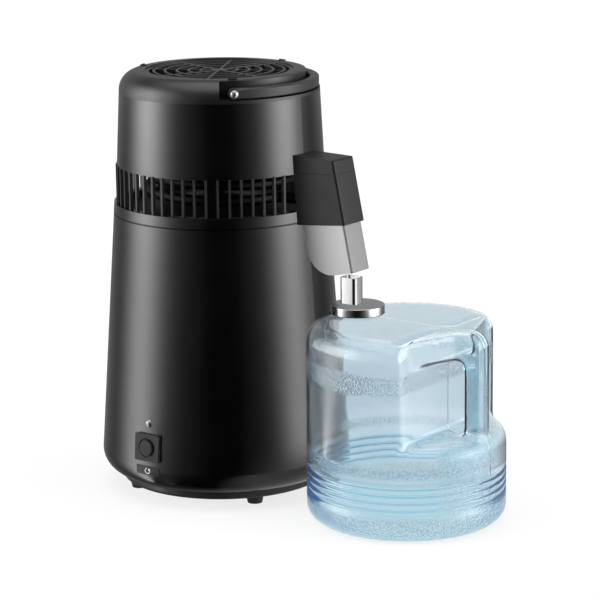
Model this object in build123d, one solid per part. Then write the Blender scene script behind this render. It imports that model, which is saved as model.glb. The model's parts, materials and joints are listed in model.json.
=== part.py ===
from build123d import *
import os
from math import asin, atan, cos, degrees, pi, radians, sin, sqrt, tan

# Countertop water distiller with its collecting jug.
# Lengths are in millimetres, angles in degrees. The boiler's axis is Z, the counter is Z = 0,
# the spout and the jug lie along +X and the reset button faces -Y.

# Allowances that every piece shares
overrun = 5.0  # how far a cutter passes the face that it cuts
seat_gap = 0.3  # between pieces that meet along curved or moving faces
running_gap = 0.05  # radial play of a shaft, stem or pivot in its hole
root_depth = 0.6  # how far a rib runs into the piece that carries it

# Feet and base pan
foot_count = 4
foot_height = 6.8
foot_r = 6.6
foot_flare = 1.4
foot_inset = 11.5
foot_angle = -34.0
foot_screw_r = 1.5
foot_screw_head_r = 3.0
foot_screw_head_height = 2.0
foot_recess_depth = 3.6
foot_screw_grip = 4.0
pan_inset = 18.8
pan_wall = 2.0
pan_corner_r = 3.0
pan_wall_height = 7.2
pan_rim_height = 8.0
pan_shoulder = 1.5
pan_slot_count = 18
pan_slot_width = 3.0
pan_slot_in_r = 26.0
pan_slot_out_r = 52.0

# Base housing: painted sheet, turned in at the bottom
sheet = 1.2
housing_height = 236.4
housing_top_r = 96.8
housing_flare = 16.5
housing_corner_r = 19.0

# Boiling pot and what is fixed under it
pot_sheet = 1.2
pot_gap = 7.6
heater_room = 53.2
pot_corner_r = 9.0
pot_flange_inset = 0.9
rod_count = 3
rod_r = 3.2
rod_angle = 71.0
rod_inset = 16.0
rod_screw_r = 1.7
rod_screw_head_r = 3.4
rod_screw_head_height = 2.2
rod_screw_length = 12.0
plate_inset = 24.0
plate_thickness = 6.0
plate_stud_r = 4.0
element_inset = 10.0
element_tube_r = 4.0
element_sweep = 310.0
element_end_length = 16.0
element_pin_r = 1.6
element_pin_length = 8.0
clamp_width = 14.0
clamp_thickness = 2.5
clamp_overhang = 6.0
nut_across_flats = 13.0
nut_height = 6.0
stud_tip = 2.0
thermostat_r = 9.0
thermostat_height = 10.0
thermostat_neck_r = 6.5
thermostat_neck_height = 3.0
terminal_width = 5.0
terminal_thickness = 0.8
terminal_length = 6.0
terminal_spacing = 8.0

# Reset button group on the front wall
reset_rise = 40.5
bezel_width = 26.5
bezel_height = 24.5
bezel_proud = 2.4
bezel_corner_r = 1.6
bezel_well_r = 9.0
bezel_well_depth = 1.2
bezel_neck = 19.0
bezel_neck_depth = 6.0
button_r = 7.2
button_proud = 1.8
button_edge_r = 0.8
button_travel = 2.2
button_stem_r = 2.2
button_stem_length = 5.5
switch_width = 18.0
switch_depth = 13.0
switch_lug_spacing = 8.0
label_width = 26.0
label_height = 8.0
label_thickness = 0.6
label_drop = 21.0
case_screw_rise = 21.5
case_screw_r = 1.8
case_screw_head_r = 3.5
case_screw_head_height = 2.2
case_screw_length = 8.0

# Mains inlet on the back wall, and the fan's small inlet in the head
inlet_rise = 32.0
inlet_width = 50.0
inlet_height = 27.0
inlet_proud = 2.6
inlet_corner_r = 4.0
inlet_body_width = 28.0
inlet_body_height = 20.0
inlet_body_depth = 21.0
inlet_wall = 2.0
inlet_socket_depth = 18.0
inlet_pin_width = 2.0
inlet_pin_height = 4.0
inlet_pin_length = 12.0
inlet_pin_spacing = 14.0
inlet_pin_rise = 4.0
fan_inlet_rise = 29.4
fan_inlet_width = 24.0
fan_inlet_height = 16.0
fan_inlet_proud = 2.0
fan_inlet_body_width = 17.0
fan_inlet_body_height = 11.0
fan_inlet_body_depth = 14.0
fan_inlet_wall = 1.8
fan_inlet_socket_depth = 12.0
fan_inlet_pin_r = 1.0
fan_inlet_pin_length = 6.5
fan_inlet_pin_spacing = 5.0

# Steam dome, gasket and condenser
gasket_thickness = 2.0
gasket_width = 9.0
dome_sheet = 1.2
dome_rise = 13.0
dome_collar_wall = 2.0
dome_collar_height = 7.0
coil_tube_r = 4.75
coil_inset = 24.0
coil_turns = 3
coil_clearance = 10.0
coil_head_gap = 6.7
coil_riser_bend_r = 12.0
coil_entry_bend_r = 18.0
coil_exit_bend_r = 16.0
coil_exit_share = 0.55
bracket_count = 3
bracket_width = 10.0
bracket_thickness = 1.5
bracket_foot = 12.0
bracket_angle = 60.0

# Vent ring between the base and the head
ring_height = 9.0
ring_wall = 8.5
ring_lean = 0.6
ring_ledge = 3.0
vent_height = 34.7
vent_bar_count = 57
vent_bar_width = 2.0
vent_bar_inset = 2.6
vent_bar_depth = 3.4
vent_collar_height = 7.0
vent_spigot_height = 5.4
vent_collar_proud = 0.4

# Head shell and top cover
shell_inset = 4.2
shell_lean = 2.9
shell_height = 56.9
cover_height = 19.0
cover_corner_share = 0.92
cover_wall = 2.5
cover_lean = 0.7
cover_spigot_height = 7.5
cover_post_count = 3
cover_post_r = 4.2
cover_post_angle = 17.0
cover_post_inset = 4.6
clip_count = 3
clip_angle = -43.0
clip_width = 7.6
clip_slot = 4.0
clip_inset = 4.8
clip_nub_height = 1.2
clip_nub_depth = 1.6

# Fan grille
grille_inset = 23.6
grille_lip = 2.5
grille_ledge = 2.6
grille_ledge_thickness = 2.3
grille_thickness = 3.5
grille_recess = 1.1
grille_rim = 3.2
grille_bar = 2.1
grille_hub_r = 7.0
grille_ring_shares = (0.25, 0.41, 0.57, 0.73, 0.88)
grille_spoke_count = 8
grille_spoke_angle = -62.0

# Fan, motor and bracket
motor_r = 22.0
motor_height = 22.0
motor_boss_r = 6.0
motor_boss_height = 5.0
motor_bore_depth = 20.0
shaft_r = 3.0
spider_thickness = 2.5
spider_arm = 12.0
spider_hub_margin = 3.0
spider_drop = 30.0
spider_screw_r = 1.5
spider_screw_head_r = 3.0
spider_screw_head_height = 2.0
spider_screw_length = 8.0
fan_hub_r = 17.0
fan_hub_height = 14.0
fan_hub_gap = 2.0
fan_tip_gap = 6.6
fan_blade_count = 5
fan_blade_thickness = 1.6
fan_root_chord = 19.0
fan_tip_chord = 32.0
fan_root_pitch = 38.0
fan_tip_pitch = 22.0
fan_blade_round_share = 0.45
fan_nut_across_flats = 9.0
fan_nut_height = 4.0
fan_shaft_tip = 1.2

# Carrying handle and its pivots
handle_angle = -43.5
handle_thickness = 8.3
handle_height = 9.5
handle_edge_r = 2.0
handle_inset = 0.9
handle_floor_gap = 0.75
handle_back_gap = 3.5
handle_end_margin = 8.5
pivot_screw_r = 2.0
pivot_head_r = 3.5
pivot_head_height = 1.8

# Spout: housing, lift-off cover and steel chute, all leaning outward by one angle
spout_tilt = 12.0
spout_half_width = 15.5
spout_wall = 1.8
spout_reach = 49.8
spout_bottom_rise = 2.8
spout_front_height = 56.8
spout_back_rise = 60.5
spout_seam_share = 0.79
spout_edge_r = 2.4
spout_bottom_slope = 5.5
chute_back_gap = 1.8
chute_corner_r = 24.5
chute_sheet = 1.2
chute_drop = 42.0
chute_hidden = 13.0
chute_edge_r = 2.5
chute_drain_r = 5.0

# Collecting jug
jug_gap = 1.3
jug_r = 87.0
jug_wall = 2.2
jug_foot_r = 14.0
jug_shoulder_r = 17.0
jug_lower_height = 84.0
jug_lower_shoulder_r = 14.0
jug_flat_inset = 43.5
jug_flat_corner_r = 9.0
jug_rib_count = 4
jug_rib_first_z = 29.3
jug_rib_pitch = 6.3
jug_rib_width = 4.2
jug_rib_depth = 1.2
grip_inset = 6.4
grip_depth = 16.8
grip_width = 21.0
grip_edge_r = 4.0
grip_top_r = 15.0
grip_arch_r = 9.0
grip_arm_depth = 25.0
grip_web_root = 3.5
grip_web_inset = 2.0
grip_web_edge_r = 3.4
grip_web_end_share = 0.9
grip_web_edge_share = 0.95
grip_root = 12.0
mouth_inset = 36.0
mouth_r = 18.7
neck_wall = 2.5
neck_height = 4.0
neck_root = 8.0

# Jug cap with its seal and drip tube
cap_wall = 2.1
cap_sheet = 1.5
cap_height = 8.4
cap_edge_r = 0.8
seal_width = 2.2
tube_length = 16.6
tube_width = 14.0
tube_sheet = 1.2
tube_corner_r = 3.0
tube_offset = 6.5
tube_gap = 2.4
tube_rise = 23.5

# Levels and radii that follow from the sizes above
pan_bottom_z = foot_height
housing_bottom_z = pan_bottom_z + pan_wall_height
housing_top_z = housing_bottom_z + housing_height
seam_z = housing_top_z + pot_sheet
housing_taper = housing_flare / housing_height
housing_wide_r = housing_top_r + (housing_height - housing_corner_r) * housing_taper
pan_r = housing_top_r + housing_flare - pan_inset
foot_circle_r = pan_r - foot_inset
lip_r = pan_r - pan_shoulder + seat_gap
reset_z = housing_bottom_z + reset_rise
inlet_z = housing_bottom_z + inlet_rise
pot_r = housing_top_r - sheet - pot_gap
pot_bottom_z = pan_bottom_z + pan_wall + heater_room
rod_circle_r = pot_r - rod_inset
plate_r = pot_r - plate_inset
plate_bottom_z = pot_bottom_z - plate_thickness
element_ring_r = plate_r - element_inset
element_z = plate_bottom_z - element_tube_r
thermostat_offset = (nut_across_flats / 2 + element_ring_r - element_tube_r) / 2
clamp_top_z = element_z - element_tube_r
nut_top_z = clamp_top_z - clamp_thickness
ring_r = housing_top_r
ring_in_r = ring_r - ring_wall
ring_bottom_z = seam_z + seat_gap
ring_top_z = ring_bottom_z + ring_height
vent_bar_r = ring_r - vent_bar_inset
vent_top_z = ring_top_z + vent_height
shell_bottom_r = ring_r - shell_inset
shell_top_r = shell_bottom_r - shell_lean
shell_bottom_z = vent_top_z + vent_collar_height
shell_taper = shell_lean / shell_height
fan_inlet_z = shell_bottom_z + fan_inlet_rise
cover_bottom_z = shell_bottom_z + shell_height
cover_top_z = cover_bottom_z + cover_height
cover_corner_r = cover_height * cover_corner_share
grille_opening_r = shell_top_r - grille_inset
grille_r = grille_opening_r - seat_gap
grille_top_z = cover_top_z - grille_recess
grille_bottom_z = grille_top_z - grille_thickness
cover_post_circle_r = grille_opening_r + cover_post_inset
spider_top_z = cover_top_z - cover_wall - spider_drop
spider_bottom_z = spider_top_z - spider_thickness
motor_bottom_z = spider_bottom_z - motor_height
boss_top_z = spider_bottom_z + motor_boss_height
fan_bottom_z = boss_top_z + fan_hub_gap
fan_top_z = fan_bottom_z + fan_hub_height
fan_r = grille_opening_r - fan_tip_gap
coil_r = pot_r - coil_inset
dome_z = seam_z + gasket_thickness
dome_r = ring_in_r + ring_ledge - seat_gap
dome_flange_in_r = coil_r
dome_top_z = dome_z + dome_rise
collar_r = coil_tube_r + seat_gap + dome_collar_wall
coil_bottom_z = dome_z + dome_sheet + coil_clearance + coil_tube_r
coil_top_z = motor_bottom_z - coil_head_gap - coil_tube_r
coil_pitch = (coil_top_z - coil_bottom_z) / coil_turns
handle_out_r = shell_top_r - handle_inset
handle_in_r = handle_out_r - handle_thickness
recess_r = handle_in_r - handle_back_gap
handle_z = cover_bottom_z + cover_wall + seat_gap + handle_floor_gap + handle_height / 2
recess_z = handle_z - handle_height / 2 - handle_floor_gap
spout_front_x = ring_r + spout_reach
spout_front_z = seam_z + spout_bottom_rise
spout_lean = radians(spout_tilt)
chute_half_width = spout_half_width - spout_wall - seat_gap
chute_front_inset = spout_wall + seat_gap
chute_back_inset = (spout_reach - chute_back_gap - chute_hidden * sin(spout_lean)) / cos(spout_lean)
chute_flat_inset = chute_back_inset - chute_corner_r
chute_low_z = spout_front_z - chute_flat_inset * sin(spout_lean) - chute_drop * cos(spout_lean)
tube_top_z = chute_low_z - tube_gap
cap_top_z = tube_top_z - tube_rise
jug_height = cap_top_z - cap_height
jug_x = housing_wide_r + jug_r + jug_gap
jug_flat_offset = jug_r - jug_flat_inset
jug_flat_half = sqrt((jug_r - jug_flat_corner_r) ** 2 - (jug_flat_offset - jug_flat_corner_r) ** 2)
grip_inner_offset = jug_r - grip_inset - grip_depth
grip_arm_z = jug_height - grip_arm_depth
mouth_offset = jug_r - mouth_inset
mouth_x = jug_x - mouth_offset
tube_x = mouth_x - tube_offset
neck_r = mouth_r + neck_wall
neck_top_z = jug_height + neck_height
cap_r = neck_r + seat_gap + cap_wall


# Helpers


def polar(radius, angle, z=0):
    return Vector(radius * cos(radians(angle)), radius * sin(radians(angle)), z)


def turned(points):
    """Solid of revolution about Z from (radius, height) points."""
    return revolve(Plane.XZ * make_face(Polyline(*points, close=True)), Axis.Z)


def ring(outer_r, inner_r, low_z, high_z):
    return turned(((inner_r, low_z), (outer_r, low_z), (outer_r, high_z), (inner_r, high_z)))


def drum(radius, low_z, high_z, centre=(0, 0)):
    """Upright cylinder between two heights."""
    place = Vector(*centre)
    disc = Pos(place.X, place.Y, low_z) * Circle(radius)
    return extrude(disc, high_z - low_z, dir=(0, 0, 1))


def block(width, depth, low_z, high_z, centre=(0, 0)):
    place = Vector(*centre)
    base = Pos(place.X, place.Y, low_z) * Rectangle(width, depth)
    return extrude(base, high_z - low_z, dir=(0, 0, 1))


def side_prism(face, half_width):
    """Solid of an XZ face, as deep along Y on both sides of the middle plane."""
    return extrude(Plane.XZ * face, half_width, both=True)


def angles(count, first):
    return [first + 360.0 * step / count for step in range(count)]


def housing_r(z):
    return housing_top_r + (housing_top_z - z) * housing_taper


def shell_r(z):
    return shell_bottom_r - (z - shell_bottom_z) * shell_taper


def wall_plane(radius, z, angle, taper):
    """Plane on a tapered wall: its X runs round the wall, its Y up, its Z out of the wall."""
    lean = atan(taper)
    out = polar(cos(lean), angle, sin(lean))
    return Plane(origin=polar(radius, angle, z), x_dir=polar(1, angle + 90), z_dir=out)


def slab(sketch, low, high):
    """Extrusion of a flat sketch between two heights of its own plane."""
    return extrude(Pos(0, 0, low) * sketch, high - low, dir=(0, 0, 1))


def dome_head(radius, height, low):
    """Low domed screw head standing on a plane."""
    arch_r = (radius**2 + height**2) / (2 * height)
    ball = Pos(0, 0, low + height - arch_r) * Sphere(arch_r)
    return ball & slab(Circle(radius), low, low + height)


def eased(edges, size, limit):
    return fillet(edges, min(size, limit))


# Base: pan, feet, housing


def foot_places():
    return [polar(foot_circle_r, angle) for angle in angles(foot_count, foot_angle)]


def rod_places():
    return [polar(rod_circle_r, angle) for angle in angles(rod_count, rod_angle)]


def base_pan():
    floor_z = pan_bottom_z + pan_wall
    rim_r = pan_r - pan_shoulder
    outline = Polyline(
        (0, pan_bottom_z),
        (pan_r, pan_bottom_z),
        (pan_r, housing_bottom_z),
        (rim_r, housing_bottom_z),
        (rim_r, housing_bottom_z + pan_rim_height),
        (rim_r - pan_wall, housing_bottom_z + pan_rim_height),
        (rim_r - pan_wall, floor_z),
        (0, floor_z),
        close=True,
    )
    face = make_face(outline)
    corner = face.vertices().sort_by_distance((pan_r, pan_bottom_z))[0]
    pan = revolve(Plane.XZ * fillet(corner, pan_corner_r), Axis.Z)
    slot_length = pan_slot_out_r - pan_slot_in_r
    slot = block(slot_length, pan_slot_width, pan_bottom_z - overrun, floor_z + overrun)
    slot = Pos((pan_slot_in_r + pan_slot_out_r) / 2, 0, 0) * slot
    cuts = [Rot(0, 0, angle) * slot for angle in angles(pan_slot_count, 0)]
    cuts += [drum(foot_screw_r + running_gap, 0, floor_z + overrun, p) for p in foot_places()]
    cuts += [drum(rod_screw_r + running_gap, 0, floor_z + overrun, p) for p in rod_places()]
    return pan - cuts


def feet():
    top_r = foot_r + foot_flare
    recess_r_here = foot_screw_head_r + seat_gap
    foot = turned(
        (
            (recess_r_here, 0),
            (foot_r, 0),
            (top_r, pan_bottom_z),
            (foot_screw_r + running_gap, pan_bottom_z),
            (foot_screw_r + running_gap, foot_recess_depth),
            (recess_r_here, foot_recess_depth),
        )
    )
    return Compound(children=[Pos(*place) * foot for place in foot_places()])


def foot_screws():
    head_z = foot_recess_depth - foot_screw_head_height
    screw = drum(foot_screw_head_r, head_z, foot_recess_depth)
    screw += drum(foot_screw_r, head_z, pan_bottom_z + pan_wall + foot_screw_grip)
    return Compound(children=[Pos(*place) * screw for place in foot_places()])


def housing_form(inset, top_z):
    """Solid inside the housing's outer face, moved inward by an inset."""
    low_z = housing_bottom_z + inset
    low_r = housing_r(low_z) - inset
    outline = Polyline((0, low_z), (low_r, low_z), (housing_r(top_z) - inset, top_z), (0, top_z), close=True)
    face = make_face(outline)
    corner = face.vertices().sort_by_distance((low_r, low_z))[0]
    return revolve(Plane.XZ * fillet(corner, housing_corner_r - inset), Axis.Z)


def reset_plane():
    return wall_plane(housing_r(reset_z), reset_z, -90, housing_taper)


def case_screw_plane():
    z = reset_z + case_screw_rise
    return wall_plane(housing_r(z), z, -90, housing_taper)


def inlet_plane():
    return wall_plane(housing_r(inlet_z), inlet_z, 90, housing_taper)


def base_housing():
    shell = housing_form(0, housing_top_z) - housing_form(sheet, housing_top_z + overrun)
    shell -= drum(lip_r, housing_bottom_z - overrun, housing_bottom_z + overrun)
    neck = bezel_neck + 2 * seat_gap
    shell -= reset_plane() * slab(Rectangle(neck, neck), -switch_depth, overrun)
    hole = Circle(case_screw_r + seat_gap)
    shell -= case_screw_plane() * slab(hole, -case_screw_length, overrun)
    socket = Rectangle(inlet_body_width + 2 * seat_gap, inlet_body_height + 2 * seat_gap)
    shell -= inlet_plane() * slab(socket, -inlet_body_depth, overrun)
    return shell


# Base: boiling pot, heater and safety switch


def boiler_pot():
    flange_r = housing_top_r - pot_flange_inset
    in_r = pot_r - pot_sheet
    outside = make_face(
        Polyline((0, pot_bottom_z), (pot_r, pot_bottom_z), (pot_r, seam_z), (0, seam_z), close=True)
    )
    corner = outside.vertices().sort_by_distance((pot_r, pot_bottom_z))[0]
    pot = revolve(Plane.XZ * fillet(corner, pot_corner_r), Axis.Z)
    pot += ring(flange_r, in_r, housing_top_z, seam_z)
    low_z = pot_bottom_z + pot_sheet
    high_z = seam_z + overrun
    inside = make_face(Polyline((0, low_z), (in_r, low_z), (in_r, high_z), (0, high_z), close=True))
    corner = inside.vertices().sort_by_distance((in_r, low_z))[0]
    return pot - revolve(Plane.XZ * fillet(corner, pot_corner_r - pot_sheet), Axis.Z)


def tie_rods():
    floor_z = pan_bottom_z + pan_wall
    rod = drum(rod_r, floor_z, pot_bottom_z)
    rod -= drum(rod_screw_r + running_gap, floor_z - overrun, floor_z + rod_screw_length)
    return Compound(children=[Pos(*place) * rod for place in rod_places()])


def pan_screws():
    head_z = pan_bottom_z - rod_screw_head_height
    tip_z = pan_bottom_z + pan_wall + rod_screw_length - seat_gap
    screw = drum(rod_screw_head_r, head_z, pan_bottom_z) + drum(rod_screw_r, head_z, tip_z)
    return Compound(children=[Pos(*place) * screw for place in rod_places()])


def heater_plate():
    stud_z = nut_top_z - nut_height - stud_tip
    return drum(plate_r, plate_bottom_z, pot_bottom_z) + drum(plate_stud_r, stud_z, pot_bottom_z)


def heating_element():
    section = Plane.XZ * Pos(element_ring_r, element_z - seat_gap / 2) * Circle(element_tube_r)
    first = (360 - element_sweep) / 2
    tube = Rot(0, 0, first) * revolve(section, Axis.Z, element_sweep)
    middle_z = element_z - seat_gap / 2
    for angle, way in ((first, -1), (-first, 1)):
        start = polar(element_ring_r, angle, middle_z)
        run = Plane(origin=start, z_dir=polar(way, angle + 90) + polar(1, angle))
        tube += run * slab(Circle(element_tube_r), -element_tube_r, element_end_length)
        pin_end = element_end_length + element_pin_length
        tube += run * slab(Circle(element_pin_r), element_end_length - root_depth, pin_end)
    return tube


def heater_clamp():
    length = 2 * (element_ring_r + element_tube_r + clamp_overhang)
    bar_top_z = clamp_top_z - seat_gap
    bar = block(clamp_width, length, bar_top_z - clamp_thickness, bar_top_z)
    bar = eased(bar.edges().filter_by(Axis.Z), clamp_width / 3, clamp_overhang)
    return bar - drum(plate_stud_r + seat_gap, bar_top_z - overrun, bar_top_z + overrun)


def clamp_nut():
    top_z = nut_top_z - seat_gap
    outline = RegularPolygon(nut_across_flats / 2, 6, major_radius=False)
    nut = extrude(Pos(0, 0, top_z - nut_height) * outline, nut_height, dir=(0, 0, 1))
    return nut - drum(plate_stud_r + running_gap, top_z - nut_height - overrun, top_z + overrun)


def boil_dry_thermostat():
    place = (-thermostat_offset, 0)
    neck_z = plate_bottom_z - thermostat_neck_height
    low_z = neck_z - thermostat_height
    body = drum(thermostat_neck_r, neck_z - root_depth, plate_bottom_z, place)
    body += drum(thermostat_r, low_z, neck_z, place)
    for side in (-1, 1):
        at = (-thermostat_offset, side * terminal_spacing / 2)
        body += block(terminal_width, terminal_thickness, low_z - terminal_length, low_z + root_depth, at)
    return body


# Reset button group


def reset_bezel():
    plate = slab(RectangleRounded(bezel_width, bezel_height, bezel_corner_r), -overrun, bezel_proud)
    bezel = reset_plane() * plate - housing_form(-seat_gap / 3, housing_top_z)
    neck = slab(Rectangle(bezel_neck, bezel_neck), -bezel_neck_depth, bezel_proud - root_depth)
    bezel += reset_plane() * neck
    well = slab(Circle(bezel_well_r), bezel_proud - bezel_well_depth, bezel_proud + overrun)
    guide = slab(Circle(button_r + seat_gap), -bezel_neck_depth - overrun, bezel_proud + overrun)
    return bezel - reset_plane() * (well + guide)


def reset_button():
    top = bezel_proud + button_proud
    low = -bezel_neck_depth + button_travel + seat_gap
    cap = slab(Circle(button_r), low, top)
    rim = cap.faces().sort_by(Axis.Z)[-1].edges()
    cap = fillet(rim, button_edge_r)
    return reset_plane() * (cap + slab(Circle(button_stem_r), low - button_stem_length, low + root_depth))


def reset_switch():
    front = -bezel_neck_depth
    body = slab(Rectangle(switch_width, switch_width), front - switch_depth, front)
    stem_end = front + button_travel + seat_gap - button_stem_length
    bore = slab(Circle(button_stem_r + running_gap), stem_end - button_travel - seat_gap, overrun)
    body -= bore
    for side in (-1, 1):
        lug = Pos(side * switch_lug_spacing / 2, 0) * Rectangle(terminal_thickness, terminal_width)
        body += slab(lug, front - switch_depth - terminal_length / 2, front - switch_depth + root_depth)
    return reset_plane() * body


def reset_label():
    z = reset_z - label_drop
    skin = housing_form(-label_thickness, housing_top_z) - housing_form(-running_gap, housing_top_z + overrun)
    window = block(label_width, housing_r(z), z - label_height / 2, z + label_height / 2)
    return skin & Pos(0, -housing_r(z), 0) * window


def case_screw():
    screw = dome_head(case_screw_head_r, case_screw_head_height, running_gap)
    shank = slab(Circle(case_screw_r), -case_screw_length + seat_gap, running_gap + root_depth)
    return case_screw_plane() * (screw + shank)


# Mains inlet and fan inlet


def power_inlet():
    plate = slab(RectangleRounded(inlet_width, inlet_height, inlet_corner_r), -overrun, inlet_proud)
    inlet = inlet_plane() * plate - housing_form(-seat_gap / 3, housing_top_z)
    inlet += inlet_plane() * slab(
        Rectangle(inlet_body_width, inlet_body_height), -inlet_body_depth, inlet_proud - root_depth
    )
    cavity = Rectangle(inlet_body_width - 2 * inlet_wall, inlet_body_height - 2 * inlet_wall)
    upper = cavity.vertices().group_by(Axis.Y)[-1]
    cavity = chamfer(upper, inlet_wall * 2)
    low = inlet_proud - inlet_socket_depth
    return inlet - inlet_plane() * slab(cavity, low, inlet_proud + overrun)


def inlet_pins():
    low = inlet_proud - inlet_socket_depth
    places = ((-inlet_pin_spacing / 2, -inlet_pin_rise / 2), (0, inlet_pin_rise / 2))
    places += ((inlet_pin_spacing / 2, -inlet_pin_rise / 2),)
    pins = []
    for x, y in places:
        blade = Pos(x, y) * Rectangle(inlet_pin_width, inlet_pin_height)
        pins.append(inlet_plane() * slab(blade, low, low + inlet_pin_length))
    return Compound(children=pins)


def fan_inlet_plane():
    return wall_plane(shell_r(fan_inlet_z), fan_inlet_z, 90, shell_taper)


def shell_form(inset, low_z, high_z):
    return turned(
        ((0, low_z), (shell_r(low_z) - inset, low_z), (shell_r(high_z) - inset, high_z), (0, high_z))
    )


def fan_inlet():
    corner = fan_inlet_wall
    plate = slab(RectangleRounded(fan_inlet_width, fan_inlet_height, corner), -overrun, fan_inlet_proud)
    inlet = fan_inlet_plane() * plate - shell_form(-seat_gap / 3, shell_bottom_z, cover_bottom_z)
    body = Rectangle(fan_inlet_body_width, fan_inlet_body_height)
    inlet += fan_inlet_plane() * slab(body, -fan_inlet_body_depth, fan_inlet_proud - root_depth)
    cavity = Rectangle(fan_inlet_body_width - 2 * fan_inlet_wall, fan_inlet_body_height - 2 * fan_inlet_wall)
    low = fan_inlet_proud - fan_inlet_socket_depth
    return inlet - fan_inlet_plane() * slab(cavity, low, fan_inlet_proud + overrun)


def fan_inlet_pins():
    low = fan_inlet_proud - fan_inlet_socket_depth
    pins = []
    for side in (-1, 1):
        pin = Pos(side * fan_inlet_pin_spacing / 2, 0) * Circle(fan_inlet_pin_r)
        pins.append(fan_inlet_plane() * slab(pin, low, low + fan_inlet_pin_length))
    return Compound(children=pins)


# Head: vent ring, shell, top cover, grille


def vent_ring():
    ledge_z = dome_z + dome_sheet + seat_gap / 3
    lower = turned(
        (
            (ring_in_r + ring_ledge, ring_bottom_z),
            (ring_r, ring_bottom_z),
            (ring_r - ring_lean, ring_top_z),
            (ring_in_r, ring_top_z),
            (ring_in_r, ledge_z),
            (ring_in_r + ring_ledge, ledge_z),
        )
    )
    spigot_r = shell_bottom_r - sheet - seat_gap
    upper = turned(
        (
            (ring_in_r, vent_top_z),
            (shell_bottom_r + vent_collar_proud, vent_top_z),
            (shell_bottom_r, shell_bottom_z),
            (spigot_r, shell_bottom_z),
            (spigot_r - vent_spigot_height * shell_taper, shell_bottom_z + vent_spigot_height),
            (ring_in_r, shell_bottom_z + vent_spigot_height),
        )
    )
    bar = block(vent_bar_depth, vent_bar_width, ring_top_z - root_depth, vent_top_z + root_depth)
    bar = Pos(vent_bar_r - vent_bar_depth / 2, 0, 0) * bar
    clear = degrees(asin((spout_half_width + vent_bar_width) / vent_bar_r))
    turns = [angle for angle in angles(vent_bar_count, 180) if abs((angle + 180) % 360 - 180) > clear]
    return lower + [Rot(0, 0, angle) * bar for angle in turns] + upper


def head_shell():
    shell = shell_form(0, shell_bottom_z, cover_bottom_z)
    shell -= shell_form(sheet, shell_bottom_z - overrun, cover_bottom_z + overrun)
    hole = Rectangle(fan_inlet_body_width + 2 * seat_gap, fan_inlet_body_height + 2 * seat_gap)
    return shell - fan_inlet_plane() * slab(hole, -fan_inlet_body_depth, overrun)


def sector(outer_r, inner_r, low_z, high_z, first, sweep):
    """Part of a square ring between two angles."""
    face = make_face(
        Polyline((inner_r, low_z), (outer_r, low_z), (outer_r, high_z), (inner_r, high_z), close=True)
    )
    return Rot(0, 0, first) * revolve(Plane.XZ * face, Axis.Z, sweep)


def cover_form(inset, low_z):
    """Solid inside the top cover's outer face and its handle recess, moved inward by an inset."""
    top_z = cover_top_z - inset
    low_r = shell_top_r - inset
    face = make_face(Polyline((0, low_z), (low_r, low_z), (low_r - cover_lean, top_z), (0, top_z), close=True))
    corner = face.vertices().sort_by_distance((low_r, top_z))[0]
    form = revolve(Plane.XZ * fillet(corner, cover_corner_r - inset), Axis.Z)
    margin = handle_end_margin + degrees(inset / handle_in_r)
    cut = sector(
        shell_top_r + overrun,
        recess_r - inset,
        recess_z - inset,
        cover_top_z + overrun,
        handle_angle - margin,
        180 + 2 * margin,
    )
    return form - cut


def top_cover():
    low_z = cover_bottom_z
    cover = cover_form(0, low_z) - cover_form(cover_wall, low_z - overrun)
    spigot_r = shell_top_r - sheet - seat_gap
    cover += ring(spigot_r, spigot_r - cover_wall, low_z - cover_spigot_height, low_z + root_depth)
    lip_z = grille_bottom_z - grille_ledge_thickness
    cover += ring(grille_opening_r + grille_lip, grille_opening_r - grille_ledge, lip_z, cover_top_z)
    for angle in angles(cover_post_count, cover_post_angle):
        post = polar(cover_post_circle_r, angle)
        cover += drum(cover_post_r, spider_top_z, cover_top_z - root_depth, post)
        pilot_z = spider_top_z + spider_screw_length
        cover -= drum(spider_screw_r + running_gap, spider_top_z - overrun, pilot_z, post)
    cover -= drum(grille_opening_r, grille_bottom_z, cover_top_z + overrun)
    slot = block(clip_slot, clip_width, cover_top_z - cover_wall - overrun, cover_top_z + overrun)
    nub = block(clip_nub_depth, clip_width, cover_top_z - root_depth, cover_top_z + clip_nub_height)
    for angle in angles(clip_count, clip_angle):
        cover -= Rot(0, 0, angle) * Pos(grille_opening_r + clip_inset, 0, 0) * slot
        nub_r = grille_opening_r + clip_inset + (clip_slot + clip_nub_depth) / 2
        cover += Rot(0, 0, angle) * Pos(nub_r, 0, 0) * nub
    return cover - pivot_holes(pivot_screw_r + running_gap)


def pivot_holes(radius):
    """Bores of the two handle pivots through the cover's recess wall."""
    bores = []
    for angle in (handle_angle, handle_angle + 180):
        plane = Plane(origin=polar(0, 0, handle_z), z_dir=polar(1, angle))
        bores.append(plane * slab(Circle(radius), recess_r - cover_wall - overrun, handle_out_r + overrun))
    return bores


def fan_grille():
    wheel = ring(grille_r, grille_r - grille_rim, grille_bottom_z, grille_top_z)
    wheel += drum(grille_hub_r, grille_bottom_z, grille_top_z)
    for share in grille_ring_shares:
        middle = grille_opening_r * share
        wheel += ring(middle + grille_bar / 2, middle - grille_bar / 2, grille_bottom_z, grille_top_z)
    spoke_length = grille_r - grille_rim + root_depth
    spoke = block(spoke_length, grille_bar, grille_bottom_z, grille_top_z)
    spoke = Pos(spoke_length / 2, 0, 0) * spoke
    return wheel + [Rot(0, 0, a) * spoke for a in angles(grille_spoke_count, grille_spoke_angle)]


# Head: steam dome and condenser


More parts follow.
